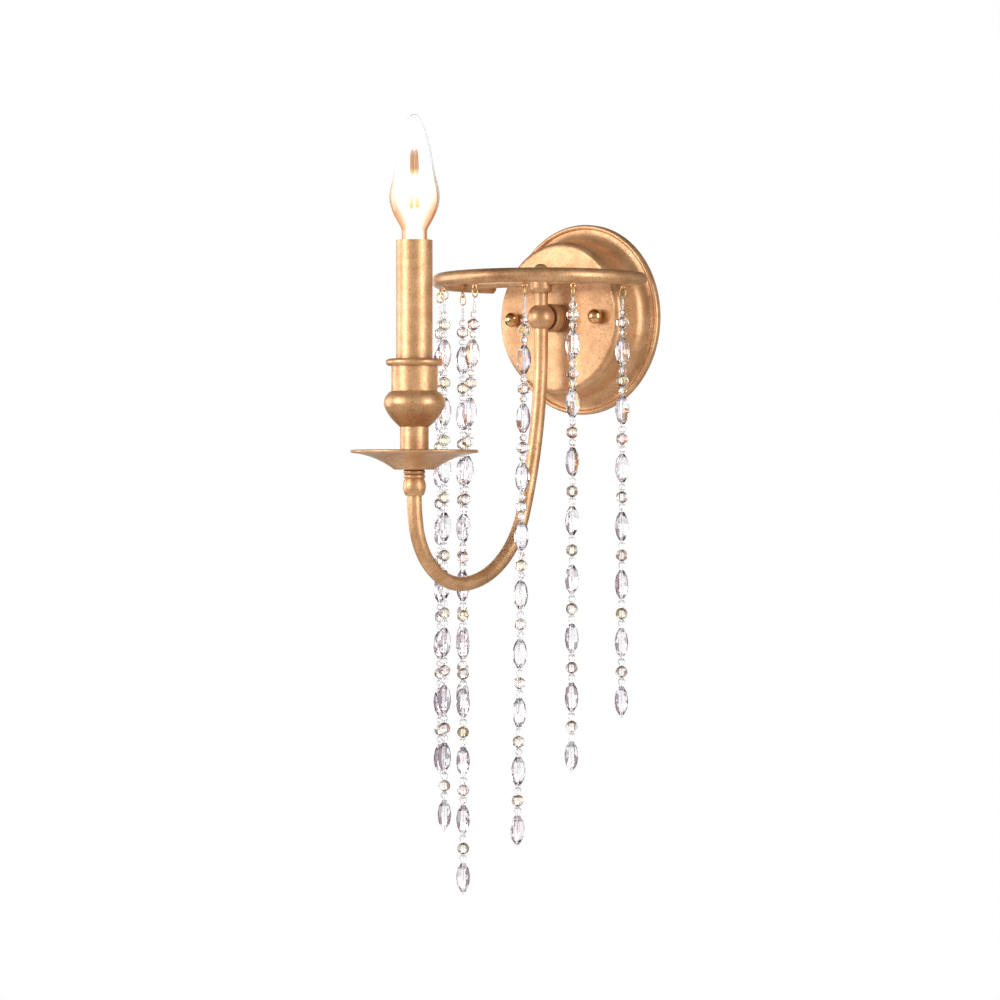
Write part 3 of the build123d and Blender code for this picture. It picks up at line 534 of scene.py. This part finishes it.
eyelets = bmesh.new()
for number in STRANDS:
    body = f"strand_{number}"
    low, high = (Vector(corner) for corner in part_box(f"link_{number}"))
    centre = (low + high) / 2
    outward = Vector((centre.x - ROD.x, centre.y - ROD.y, 0)).normalized()
    along_ring = Vector((-outward.y, outward.x, 0))

    eye = Vector((centre.x, centre.y, EYE_CENTRE))
    add_tube(eyelets, oval_loop(eye, along_ring, EYE_R), EYE_WIRE_R, closed=True)
    shank_foot = eye + Vector((0, 0, EYE_R + EYE_WIRE_R / 2))
    shank_top = Vector((eye.x, eye.y, RING_HEIGHT - RING_BAR_R + SHANK_DEPTH))
    add_tube(eyelets, [shank_foot, shank_top], EYE_WIRE_R)

    link = bmesh.new()
    add_tube(link, oval_loop(centre, outward, LINK_R, LINK_STRAIGHT), LINK_WIRE_R, closed=True)
    name = f"oval_link_{number}"
    finish_piece(link, name, body, [BRASS], [f"link_{number}"], smooth=True)

    rounds, ovals = bmesh.new(), bmesh.new()
    groups = separate_solids(f"round_beads_{number}")
    for count, (bottom, top) in enumerate(groups):
        upright = stand((top + bottom) / 2, top - bottom)
        spin = Matrix.Rotation(GOLDEN_TURN * count, 4, "Z")
        add_lathe(rounds, bead_section(ROUND_OUTLINE), BEAD_SIDES, upright @ spin)
        for offset in (-SPACER_OFFSET, SPACER_OFFSET):
            lift = Matrix.Translation((0, 0, offset))
            add_lathe(rounds, bead_section(SPACER_OUTLINE), BEAD_SIDES, upright @ lift, index=1)
    for count, (bottom, top) in enumerate(separate_solids(f"oval_beads_{number}")):
        upright = stand((top + bottom) / 2, top - bottom)
        spin = Matrix.Rotation(GOLDEN_TURN * count, 4, "Z")
        add_lathe(ovals, bead_section(OVAL_OUTLINE), BEAD_SIDES, upright @ spin)
    for shape, kind, slot, materials in (
        (rounds, "round", "round_crystal", [ROUND, SPACER]),
        (ovals, "oval", "oval_crystal", [OVAL]),
    ):
        replaced = [f"{kind}_beads_{number}"]
        finish_piece(shape, f"cut_{kind}s_{number}", body, materials, replaced)

    for slot in nodes[f"thread_{number}"].material_slots:
        slot.material = NYLON
    bottom, top = groups[0]
    axis = (top - bottom).normalized()
    line_top = Vector((centre.x, centre.y, low.z - LINE_DROP))
    reach = (line_top - top).length
    twisted = bmesh.new()
    side_axis = axis.orthogonal().normalized()
    other_axis = axis.cross(side_axis)
    for half in (0, pi):
        points = []
        for k in range(TWIST_STEPS + 1):
            turn = half + 2 * pi * k / TWIST_STEPS * reach / TWIST_PITCH
            offset = (side_axis * cos(turn) + other_axis * sin(turn)) * TWIST_R * MM
            points.append(top + axis * reach * k / TWIST_STEPS + offset)
        add_tube(twisted, points, LINE_R)
    name = f"twisted_line_{number}"
    finish_piece(twisted, name, body, [NYLON], [], smooth=True)

# The coating on the lamp's two sticks, which lean towards each other
STICK_MIDDLE = Vector((2.1, 0, 81.0)) * MM    # of the right one, off the lamp's axis
STICK_RUN = Vector((-1.0, 0, 37.0))
STICK_SIDES = 20
COAT_SECTION = [(0.97, -17.4), (1.3, -17.4), (1.5, -16.8), (1.5, 16.8), (1.3, 17.4), (0.97, 17.4)]
low, high = (Vector(corner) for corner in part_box("bulb_filament"))
lamp_y = (low.y + high.y) / 2
coats = bmesh.new()
for side in (-1, 1):
    middle = Vector((side * STICK_MIDDLE.x, lamp_y, STICK_MIDDLE.z))
    lean = Vector((side * STICK_RUN.x, 0, STICK_RUN.z))
    add_lathe(coats, COAT_SECTION, STICK_SIDES, stand(middle, lean))
finish_piece(coats, "stick_coating", "bulb", [GLOW], [], smooth=True)

# The lamp's screw cap, with its rolled thread in place of a plain cylinder
CAP_R = 5.85 * MM
TIP_R, TIP_EDGE_R, TIP_EDGE_RISE = 2.2 * MM, 2.7 * MM, 0.4 * MM
COLLAR_R, COLLAR_DROP = 4.6 * MM, 0.1 * MM    # where the tip's insulator meets the shell
SHELL_RISE = 1.1 * MM
THREAD_START, THREAD_STOP = 1.5 * MM, 4.0 * MM    # above the shell's foot and below its rim
THREAD_DEPTH = 0.55 * MM
THREAD_PITCH = 2.3 * MM
CAP_SIDES = 48
CAP_ROWS = 84
cap_low, cap_high = (Vector(corner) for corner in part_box("bulb_cap"))
shell_foot = cap_low.z + SHELL_RISE
thread_low, thread_high = shell_foot + THREAD_START, cap_high.z - THREAD_STOP
cap = bmesh.new()


def cap_ring(height, outer, depth=0.0):
    """A ring of points round the lamp's axis, with the thread cut to a depth."""
    ring = []
    for k in range(CAP_SIDES):
        turn = 2 * pi * k / CAP_SIDES
        wave = 0.5 + 0.5 * cos(2 * pi * (height - thread_low) / THREAD_PITCH - turn)
        radius = outer - depth * wave
        ring.append(cap.verts.new((radius * cos(turn), lamp_y + radius * sin(turn), height)))
    return ring


cap_rings = [
    cap_ring(cap_low.z, TIP_R),
    cap_ring(cap_low.z + TIP_EDGE_RISE, TIP_EDGE_R),
    cap_ring(shell_foot - COLLAR_DROP, COLLAR_R),
]
for row in range(CAP_ROWS + 1):
    height = shell_foot + (cap_high.z - shell_foot) * row / CAP_ROWS
    run_in = max((height - thread_low) / THREAD_PITCH, 0)
    run_out = max((thread_high - height) / THREAD_PITCH, 0)
    cap_rings.append(cap_ring(height, CAP_R, THREAD_DEPTH * min(run_in, run_out, 1)))
for lower, upper in zip(cap_rings, cap_rings[1:]):
    for k in range(CAP_SIDES):
        cap.faces.new((lower[k - 1], lower[k], upper[k], upper[k - 1]))
cap.faces.new(cap_rings[0])
cap.faces.new(cap_rings[-1])
finish_piece(
    cap, "threaded_cap", "bulb", [CAP_METAL], ["bulb_cap"], smooth=True
)
finish_piece(
    eyelets, "screw_eyelets", "sconce", [NUTS], ["ring_eyelets"], smooth=True
)

# ---- Floor, light and background ----
FLOOR_Z = -0.95
FLOOR_SIDE = 2.2
MIDDLE_Y, MIDDLE_Z = -0.1, -0.08    # of the object, about
bpy.ops.mesh.primitive_plane_add(size=FLOOR_SIDE, location=(0, MIDDLE_Y, FLOOR_Z))
floor = bpy.context.object
floor.name = "floor"
floor_material, _, floor_shader = new_material("pale_floor")
set_shader(floor_shader, Base_Color=(0.85, 0.84, 0.82, 1), Roughness=0.8)
floor.data.materials.append(floor_material)


def softbox(name, bearing, height, distance, width, tall, power):
    """A soft area light at a bearing from the room side towards +X, aimed at the object."""
    data = bpy.data.lights.new(name, "AREA")
    data.shape = "RECTANGLE"
    data.size = width
    data.size_y = tall
    data.energy = power
    light = bpy.data.objects.new(name, data)
    scene.collection.objects.link(light)
    angle = radians(bearing)
    spot = Vector((sin(angle) * distance, -cos(angle) * distance + MIDDLE_Y, height))
    aim = Vector((0, MIDDLE_Y, MIDDLE_Z)) - spot
    turn = aim.to_track_quat("-Z", "Y").to_matrix().to_4x4()
    light.matrix_world = Matrix.Translation(spot) @ turn


# Bearings, then metres for height, distance, width and tallness, then watts
softbox("key", VIEW_AZIMUTH - 60, 0.32, 1.7, 0.70, 1.0, 21)
softbox("side", VIEW_AZIMUTH - 112, 0.05, 1.7, 0.80, 1.0, 9)
softbox("fill", VIEW_AZIMUTH + 50, 0.20, 1.7, 0.60, 1.4, 18)
softbox("back", VIEW_AZIMUTH + 190, 0.2, 1.9, 0.9, 0.9, 3)

# What each kind of ray sees around the object. Across runs from 0 on the side of the photograph's
# camera to 1 on the other, and up from 0 below to 1 above. The other rays see plain white
GLOSSY_ACROSS = [
    (0.0, 0.62), (0.3, 0.57), (0.5, 0.40), (0.75, 0.13), (0.93, 0.06), (0.965, 1.0), (1.0, 1.0)
]
GLOSSY_UP = [(0.0, 0.15), (0.35, 0.45), (0.5, 1.0), (0.66, 0.45), (1.0, 0.06)]
DIFFUSE_UP = [(0.0, 0.40), (0.5, 0.72), (0.68, 0.30), (1.0, 0.08)]

world = bpy.data.worlds.new("studio")
scene.world = world
world.use_nodes = True
tree = world.node_tree
tree.nodes.clear()
world_out = tree.nodes.new("ShaderNodeOutputWorld")
path = tree.nodes.new("ShaderNodeLightPath")
direction = tree.nodes.new("ShaderNodeTexCoord")


def spread(vector):
    """How far a ray points along a direction, from 0 to 1, as a socket."""
    dot = tree.nodes.new("ShaderNodeVectorMath")
    dot.operation = "DOT_PRODUCT"
    dot.inputs[1].default_value = vector
    tree.links.new(direction.outputs["Generated"], dot.inputs[0])
    span = tree.nodes.new("ShaderNodeMapRange")
    span.inputs["From Min"].default_value = -1
    tree.links.new(dot.outputs["Value"], span.inputs["Value"])
    return span.outputs["Result"]


across, upward = spread(ahead), spread((0, 0, 1))
glossy_across, glossy_up = ramp(tree, across, GLOSSY_ACROSS), ramp(tree, upward, GLOSSY_UP)
glossy = mix(tree, 1.0, glossy_across, glossy_up, "MULTIPLY")
colour = mix(tree, path.outputs["Is Glossy Ray"], ramp(tree, upward, DIFFUSE_UP), glossy)
for kind in ("Is Transmission Ray", "Is Camera Ray"):
    colour = mix(tree, path.outputs[kind], colour, WHITE)
around = tree.nodes.new("ShaderNodeBackground")
tree.links.new(colour, around.inputs["Color"])
tree.links.new(around.outputs["Background"], world_out.inputs["Surface"])
